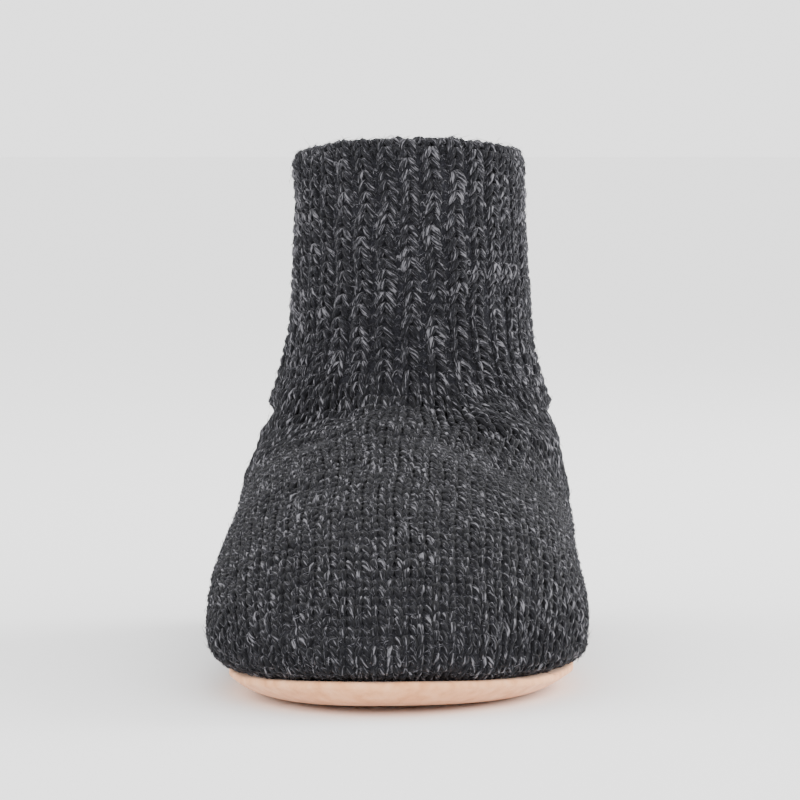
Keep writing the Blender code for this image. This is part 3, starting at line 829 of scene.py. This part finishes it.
def make_knit(material, hairs):
    """The knit's stitches as five pieces, knit and purl of the cuff, heel, instep and toe.

    A stitch's tone is its share of light fibre: random, more in the rib and less in purl,
    with a slow waver over the sock. Being lower on the foot than in the rib is partly painted
    shade on the foot's lit top. A point's tone is that and its crest highlight: painted
    highlight on the yarn's outer side and painted shade on its inner side.
    """
    middle, normal, radius, purl, rib = stitches()
    y = middle[:, STITCH_MIDDLE, 1]
    cuff = (rib > 0.5) | purl
    back = (y > HEEL_FROM) & ~cuff
    toe = (y < TOE_FROM) & ~cuff
    groups = {
        "cuff_purl": purl,
        "cuff_knit": cuff & ~purl,
        "heel_knit": back,
        "toe_knit": toe & ~back,
        "instep_knit": ~cuff & ~back & ~toe,
    }
    chance = RANDOM.uniform(-1.0, 1.0, len(middle))
    # Tone is lower on the foot than in the rib, partly as painted shade on the foot's lit top.
    tone = chance * (0.5 + 0.25 * rib) - 0.12 + 0.37 * rib - 0.15 * purl
    tone = tone + 0.10 * waver(middle[:, STITCH_MIDDLE], 32.0)
    steps = middle.shape[1]
    for name, chosen in groups.items():
        points, faces, yarn, crest_highlight = yarn_mesh(middle[chosen], normal[chosen], radius[chosen])
        share = np.repeat(rib[chosen], steps * YARN_SIDES)
        facts = {
            "yarn": yarn * (FOOT_FINENESS + RIB_FINENESS * share)[:, None],
            "tone": np.repeat(tone[chosen], steps * YARN_SIDES) + crest_highlight,
            "rib": share,
        }
        places = yarn_map(int(chosen.sum()), steps)
        add_piece(name, points, faces, material, "upper", facts, places)
    for name, chosen in (("cuff_fuzz", cuff), ("heel_fuzz", back), ("toe_fuzz", ~cuff & ~back)):
        make_fuzz(hairs, middle, normal, radius, chosen, name)


def hair_mesh(root, ahead, bend, length):
    """Closed thin spikes of ten triangles: two rings of three points and a tip on a bent line.

    The line is root + ahead (l f) + bend (l f^2) with f from 0 to 1 and l the length.
    """
    share = np.array([0.0, 0.55, 1.0])
    reach = length[:, None, None] * share[:, None]
    line = root[:, None] + ahead[:, None] * reach + bend[:, None] * reach * share[:, None]
    ring = rings_round(line, bend[:, None] + 0.3, np.arange(3) * 2 * math.pi / 3)[:, :2]
    rings = line[:, :2, None] + ring * HAIR_RADIUS * np.array([1.0, 0.8])[:, None, None]
    points = np.concatenate([rings.reshape(len(root), 6, 3), line[:, 2:]], 1)
    start = 7 * np.arange(len(root))[:, None]
    sides = start[:, :, None] + np.array([(0, 3, 4, 1), (1, 4, 5, 2), (2, 5, 3, 0)])
    ends = start[:, :, None] + np.array([(3, 6, 4), (4, 6, 5), (5, 6, 3), (0, 1, 2)])
    return points.reshape(-1, 3), [sides.reshape(-1, 4), ends.reshape(-1, 3)]


def hair_map(count):
    """Corner places of the hairs' faces: one small cell for every hair."""
    grid, cell = map_cells(count)
    cell = cell[:, None, None]
    box = np.array([(0.0, 0.0), (0.4, 0.0), (0.4, 0.2), (0.0, 0.2)])
    sides = box + np.array([0.0, 0.25])[None] * np.arange(3)[:, None, None]
    spike = np.array([(0.5, 0.0), (0.9, 0.1), (0.5, 0.2)])
    ends = spike + np.array([0.0, 0.25])[None] * np.arange(4)[:, None, None]
    return np.concatenate([(sides / grid + cell).reshape(-1, 2), (ends / grid + cell).reshape(-1, 2)])


def make_fuzz(material, middle, normal, radius, chosen, name):
    """Fine hairs lying over the chosen stitches, some of them standing off the knit."""
    stitch = np.repeat(np.flatnonzero(chosen), HAIRS)
    count = len(stitch)
    point = RANDOM.integers(1, middle.shape[1] - 1, count)
    up = normal[stitch, point]
    way = RANDOM.normal(0.0, 1.0, (count, 3))
    way = unit(way - up * (way * up).sum(1, keepdims=True))
    side = np.cross(up, way)
    lift = 0.05 + 0.7 * RANDOM.uniform(0.0, 1.0, (count, 1)) ** 5
    root = middle[stitch, point] + up * (radius[stitch, point, None] * 0.92)
    root = root + side * (RANDOM.uniform(-0.5, 0.5, (count, 1)) * radius[stitch, point, None])
    bend = side * RANDOM.normal(0.0, 0.35, (count, 1)) - up * (0.10 + 0.3 * lift)
    length = HAIR_LENGTH * np.exp(0.35 * RANDOM.normal(0.0, 1.0, count))
    points, faces = hair_mesh(root, unit(way + up * lift), bend, length)
    add_piece(name, points, faces, material, "upper", None, hair_map(count))


def grid_faces(index):
    """Quads of a grid of point numbers."""
    return np.stack([index[:-1, :-1], index[1:, :-1], index[1:, 1:], index[:-1, 1:]], -1).reshape(-1, 4)


def closed_up(thing):
    """Merges thing's points within 0.02 mm of each other and turns its faces outward."""
    body = bmesh.new()
    body.from_mesh(thing.data)
    bmesh.ops.remove_doubles(body, verts=body.verts, dist=0.02 * MM)
    bmesh.ops.dissolve_degenerate(body, edges=body.edges, dist=0.001 * MM)
    bmesh.ops.recalc_face_normals(body, faces=body.faces)
    body.to_mesh(thing.data)
    body.free()
    thing.data.shade_smooth()


def make_lining(material):
    """The knit's dark ground between and behind the stitches: one closed wall.

    Its outer side lies 1.3 mm under the surface and its inner side is the sock's inside. The
    two meet at the collar's edge and along the sole's seam, and a bowl closes the toe inside.
    """
    t = np.concatenate([np.arange(GROUND_TOP / ROW_DROP, HEEL_SEAM, 0.2), [HEEL_SEAM]])
    near = HEEL_SEAM + 0.02 + 0.4 * np.linspace(0, 1, 7) ** 2
    far = TOE_SEAM - np.linspace(1, 0, 10) ** 1.5
    slit = np.concatenate([near, np.arange(HEEL_SEAM + 0.6, TOE_SEAM - 1.1, 0.2), far])
    closed = np.arange(TOE_SEAM + 0.15, TIP - 0.1, 0.15)
    whole = np.concatenate([t, slit])
    face = np.concatenate([whole, closed, [TIP - 0.02]])
    outer = softened(face, GROUND_DEPTH, half_columns=44)
    outer = dipped(creased(outer, outward(outer), 0.5))
    outer[-1] = outer[-1].mean(0)
    inside = np.where(whole * ROW_DROP < WELT_DEPTH, WELT_GROUND, WALL)
    inner = softened(whole, inside, half_columns=44)
    inner = dipped(creased(inner, outward(inner)))
    tip = np.array([TOE_AXIS, LENGTH / 2 - (LENGTH - TIP_WALL), SECTIONS[TIP].top_rise * INSTEP + 1.0])
    pocket = []
    for turn in np.linspace(0.12, 1.0, 8) * math.pi / 2:
        share = np.array([math.cos(turn), 1.0 - math.sin(turn), math.cos(turn)])
        pocket.append(tip + (inner[-1] - tip) * share)
    rows = np.concatenate([np.array(pocket)[::-1], inner[::-1], outer])
    index = np.arange(rows.shape[0] * rows.shape[1]).reshape(rows.shape[:2])
    faces = [grid_faces(index)]
    inside_rows = len(pocket) + np.arange(len(slit) + 1)[::-1]
    outside_rows = len(pocket) + len(whole) + len(t) - 1 + np.arange(len(slit) + 1)
    for column in (0, -1):
        faces.append(grid_faces(np.stack([index[outside_rows, column], index[inside_rows, column]])))
    closed_up(add_piece("ground", rows.reshape(-1, 3), faces, material, "upper"))


def sole_ring(inset, shares):
    """Closed line round the sole, moved in by inset, at shares of its length."""
    start = SOLE_BACK + inset
    end = SOLE_FRONT - inset
    along = start + (end - start) * shares
    inner, outer = sole_edge(along, inset)
    near = np.stack([inner, along], 1)
    far = np.stack([outer, along], 1)
    return np.vstack([near, far[-2:0:-1]])


def under_up(along, inset):
    """Height of the outsole's underside: toe spring, heel lift, arch and curled edge added."""
    heel = np.clip((HEEL_LIFT_END - along) / (HEEL_LIFT_END - SOLE_BACK), 0.0, 1.0)
    arch = np.clip((along - ARCH_START) / (ARCH_END - ARCH_START), 0.0, 1.0)
    curl = EDGE_CURL * max(1.0 - max(inset, 0.0) / EDGE_CURL_WIDTH, 0.0) ** EDGE_CURL_POWER
    lift = HEEL_LIFT * heel**2 + ARCH_LIFT * np.sin(math.pi * arch) ** 2
    return toe_rise(along) + lift + curl


def ring_piece(name, rings, material, node):
    """Closed piece through rings, its first and last ring closed across the foot.

    Quads join the ring's two sides, and a triangle closes it at the heel and at the toe.
    """
    rings = np.array(rings)
    count, size = rings.shape[:2]
    index = np.arange(count * size).reshape(count, size)
    faces = [grid_faces(np.hstack([index, index[:, :1]]))]
    half = size // 2
    for ring in (index[0], index[-1]):
        faces.append(grid_faces(np.stack([ring[1:half], ring[:half:-1]])))
        faces.append(np.array([ring[[0, 1, -1]], ring[[half + 1, half, half - 1]]]))
    points = in_frame(rings.reshape(-1, 3))
    closed_up(add_piece(name, points, faces, material, node))


def make_sole(suede, felt):
    """The suede sole with its soft wavering edge, and the felt insole, as lines round the foot.

    The edge wavers by three sines of the way round, most at the rim. Under lines stay 1 mm
    below the edge's top.
    """
    shares = (1 - np.cos(np.linspace(0, math.pi, 151))) / 2
    wave = np.linspace(0, 2 * math.pi, 300, endpoint=False)
    soft = 0.16 * np.sin(9 * wave + 1.0) + 0.12 * np.sin(17 * wave + 2.2) + 0.10 * np.sin(31 * wave)
    rings = []
    for inset in UNDER_LINES:
        ring = sole_ring(max(inset, 0.0), shares)
        lift = soft * max(1.0 - inset / 6.0, 0.0)
        edge = seam_up(ring[:, 1]) - FIT_GAP - EDGE_TUCK + np.minimum(lift, 0.0)
        rings.append(np.column_stack([ring, np.minimum(under_up(ring[:, 1], inset) + lift, edge)]))
    for inset, drop in OVER_LINES:
        ring = sole_ring(max(inset, 0.0), shares)
        lift = soft * max(1.0 - inset / 3.0, 0.0)
        up = seam_up(ring[:, 1]) - FIT_GAP - drop + np.minimum(lift, 0.0)
        rings.append(np.column_stack([ring, up]))
    ring_piece("suede_sole", rings, suede, "outsole")

    along = table(np.linspace(HEEL_SEAM, TOE_SEAM, 90)).low_along
    shares = (along - along[0]) / (along[-1] - along[0])
    rings = []
    for inset, share in INSOLE_LINES:
        ring = sole_ring(LASTED_MARGIN - FELT_PRESS + inset, shares)
        rings.append(np.column_stack([ring, seam_up(ring[:, 1]) + share * INSOLE_THICKNESS]))
    ring_piece("felt_insole", rings, felt, "insole")


def linear(colour):
    """An sRGB hex colour as linear red, green, blue and alpha."""
    channels = [int(colour[k : k + 2], 16) / 255 for k in (0, 2, 4)]
    return (*[c / 12.92 if c <= 0.04045 else ((c + 0.055) / 1.055) ** 2.4 for c in channels], 1.0)


def add_node(tree, kind, settings, inputs, stops=()):
    """Adds a node with its settings, its inputs and its colour stops of (place, sRGB colour).

    An input is a value, or a socket to link from.
    """
    node = tree.nodes.new(kind)
    for name, value in settings.items():
        setattr(node, name, value)
    for name, value in inputs.items():
        if isinstance(value, bpy.types.NodeSocket):
            tree.links.new(value, node.inputs[name])
        else:
            node.inputs[name].default_value = value
    if stops:
        elements = node.color_ramp.elements
        while len(elements) < len(stops):
            elements.new(0.5)
        for element, (place, colour) in zip(elements, stops):
            element.position = place
            element.color = linear(colour)
    return node


def new_material(name, roughness, sheen):
    """A material with its tree and Principled shader."""
    material = bpy.data.materials.new(name)
    material.use_nodes = True
    shader = material.node_tree.nodes["Principled BSDF"]
    shader.inputs["Metallic"].default_value = 0.0
    shader.inputs["Roughness"].default_value = roughness
    shader.inputs["Specular IOR Level"].default_value = 0.06
    shader.inputs["Sheen Weight"].default_value = sheen
    shader.inputs["Sheen Roughness"].default_value = 0.5
    return material, material.node_tree, shader


def finish(tree, shader, colour, height, strength, depth, invert=False):
    """Gives a shader its colour and the relief of a height, depth metres deep."""
    relief = {"Height": height, "Strength": strength, "Distance": depth}
    bump = add_node(tree, "ShaderNodeBump", {"invert": invert}, relief)
    tree.links.new(colour, shader.inputs["Base Color"])
    tree.links.new(bump.outputs[0], shader.inputs["Normal"])


def marled_wool():
    """Wool yarn spun from charcoal and light grey fibre: dark, with short light streaks."""
    material, tree, shader = new_material("marled wool yarn", 0.9, 0.05)
    yarn, tone, rib = (
        add_node(tree, "ShaderNodeAttribute", {"attribute_name": name}, {}).outputs[output]
        for name, output in (("yarn", "Vector"), ("tone", "Fac"), ("rib", "Fac"))
    )
    # A light streak is about 0.6 mm wide and 3 mm long on the foot, and 0.5 by 2.4 mm in the
    # rib. Fibres are 0.03 mm thick, and drawn 0.2 mm wide so that they show.
    grains = []
    for scale, detail in (((0.26, 1.35, 1.35), 1.0), ((0.5, 4.0, 4.0), 3.0)):
        way = add_node(tree, "ShaderNodeMapping", {}, {"Vector": yarn, "Scale": scale}).outputs[0]
        grain = {"Vector": way, "Scale": 1.0, "Detail": detail}
        grains.append(add_node(tree, "ShaderNodeTexNoise", {}, grain).outputs["Fac"])
    streaks, fibres = grains
    # The rib's yarn is a little lighter between its streaks, and a point's tone brings its
    # streaks out. That tone holds the crest highlight: painted highlight on the yarn's outer
    # side and painted shade on its inner side.
    add_up = {"operation": "MULTIPLY_ADD"}
    hairy = add_node(tree, "ShaderNodeMath", add_up, {0: rib, 1: 0.04, 2: fibres})
    raised = add_node(tree, "ShaderNodeMath", add_up, {0: tone, 1: 0.11, 2: streaks})
    charcoal = [(0.38, "111113"), (0.56, "1D1D20"), (0.66, "303034"), (0.77, "5C5C62")]
    ground = add_node(tree, "ShaderNodeValToRGB", {}, {0: hairy.outputs[0]}, charcoal)
    light = [(0.53, "000000"), (0.64, "484848"), (0.77, "FFFFFF")]
    mask = add_node(tree, "ShaderNodeValToRGB", {}, {0: raised.outputs[0]}, light)
    shades = {0: mask.outputs["Color"], 6: ground.outputs["Color"], 7: linear("727176")}
    colour = add_node(tree, "ShaderNodeMix", {"data_type": "RGBA"}, shades)
    finish(tree, shader, colour.outputs[2], fibres, 0.6, 0.0003)
    return material


def loose_wool():
    """Loose wool fibre, charcoal and light grey together: a grey haze over the knit."""
    material, tree, shader = new_material("loose wool fibre", 0.9, 0.0)
    place = add_node(tree, "ShaderNodeTexCoord", {}, {}).outputs["Object"]
    # The shade changes about every millimetre, from one hair to the next.
    shades = add_node(tree, "ShaderNodeTexNoise", {}, {"Vector": place, "Scale": 900.0, "Detail": 1.0})
    greys = [(0.35, "1C1C1F"), (0.5, "3A3A3F"), (0.65, "77767C")]
    colour = add_node(tree, "ShaderNodeValToRGB", {}, {0: shades.outputs["Fac"]}, greys)
    tree.links.new(colour.outputs["Color"], shader.inputs["Base Color"])
    return material


def ground_wool():
    """The same wool seen between the stitches and inside the sock: charcoal, in low loops."""
    material, tree, shader = new_material("charcoal wool ground", 0.95, 0.05)
    place = add_node(tree, "ShaderNodeTexCoord", {}, {}).outputs["Object"]
    # Loops are 3 mm apart, as the stitches are. Fibres are drawn 0.6 mm wide, so that they show.
    loops = add_node(tree, "ShaderNodeTexVoronoi", {}, {"Vector": place, "Scale": 330.0})
    fibres = add_node(tree, "ShaderNodeTexNoise", {}, {"Vector": place, "Scale": 1800.0, "Detail": 3.0})
    greys = [(0.3, "17171A"), (0.55, "222226"), (0.75, "36363B")]
    colour = add_node(tree, "ShaderNodeValToRGB", {}, {0: fibres.outputs["Fac"]}, greys)
    finish(tree, shader, colour.outputs["Color"], loops.outputs["Distance"], 0.8, 0.0012, True)
    return material


def split_suede():
    """Split leather buffed to a nap: pale, matt, mottled where the nap lies both ways."""
    material, tree, shader = new_material("buffed suede", 0.95, 0.25)
    place = add_node(tree, "ShaderNodeTexCoord", {}, {}).outputs["Object"]
    # The mottle's patches are 4 mm wide. The nap is drawn 0.7 mm wide, so that it shows.
    mottle = add_node(tree, "ShaderNodeTexNoise", {}, {"Vector": place, "Scale": 260.0, "Detail": 4.0})
    nap = add_node(tree, "ShaderNodeTexNoise", {}, {"Vector": place, "Scale": 1500.0, "Detail": 2.0})
    tans = [(0.3, "DF9B6A"), (0.5, "F0B07F"), (0.7, "F9C093")]
    colour = add_node(tree, "ShaderNodeValToRGB", {}, {0: mottle.outputs["Fac"]}, tans)
    finish(tree, shader, colour.outputs["Color"], nap.outputs["Fac"], 0.5, 0.0003)
    return material


def wool_felt():
    """Pressed wool felt: matt grey, with matted fibres."""
    material, tree, shader = new_material("pressed wool felt", 0.95, 0.2)
    place = add_node(tree, "ShaderNodeTexCoord", {}, {}).outputs["Object"]
    # Tufts of matted fibre are 1.4 mm wide.
    fibres = add_node(tree, "ShaderNodeTexNoise", {}, {"Vector": place, "Scale": 700.0, "Detail": 5.0})
    greys = [(0.3, "77726C"), (0.5, "8A857F"), (0.7, "A09B94")]
    colour = add_node(tree, "ShaderNodeValToRGB", {}, {0: fibres.outputs["Fac"]}, greys)
    finish(tree, shader, colour.outputs["Color"], fibres.outputs["Fac"], 0.6, 0.0006)
    return material


def make_studio():
    """A white floor and surround, with softboxes on the right, on the left and in front."""
    mesh = bpy.data.meshes.new("floor")
    far = FLOOR_HALF
    corners = [(-far, -far, 0), (far, -far, 0), (far, far, 0), (-far, far, 0)]
    mesh.from_pydata(corners, [], [(0, 1, 2, 3)])
    floor = bpy.data.objects.new("floor", mesh)
    bpy.context.scene.collection.objects.link(floor)
    material, _, shader = new_material("white studio paper", 0.9, 0.0)
    shader.inputs["Base Color"].default_value = linear("F6F6F6")
    mesh.materials.append(material)

    world = bpy.data.worlds.new("studio")
    bpy.context.scene.world = world
    world.use_nodes = True
    world.node_tree.nodes["Background"].inputs["Color"].default_value = linear("FFFFFF")
    world.node_tree.nodes["Background"].inputs["Strength"].default_value = SURROUND_STRENGTH

    for box in SOFTBOXES:
        light = bpy.data.lights.new(box.name, "AREA")
        light.shape = "SQUARE"
        light.size = SOFTBOX_SIZE
        light.energy = box.watts
        lamp = bpy.data.objects.new(box.name, light)
        bpy.context.scene.collection.objects.link(lamp)
        lamp.location = box.place
        back = np.array(box.place) - SOFTBOX_AIM
        turn = math.atan2(back[0], -back[1])
        lean = math.atan2(math.hypot(back[0], back[1]), back[2])
        lamp.rotation_euler = (lean, 0.0, turn)


def make_camera():
    """The photograph's view: a long lens at the collar's height, in front of the toe."""
    data = bpy.data.cameras.new("camera")
    data.sensor_width = 36.0
    data.lens = LENS
    camera = bpy.data.objects.new("camera", data)
    bpy.context.scene.collection.objects.link(camera)
    camera.location = CAMERA_PLACE
    camera.rotation_euler = (math.pi / 2 - CAMERA_DIP, 0.0, 0.0)
    bpy.context.scene.camera = camera


make_knit(marled_wool(), loose_wool())
make_lining(ground_wool())
make_sole(split_suede(), wool_felt())
make_studio()
make_camera()
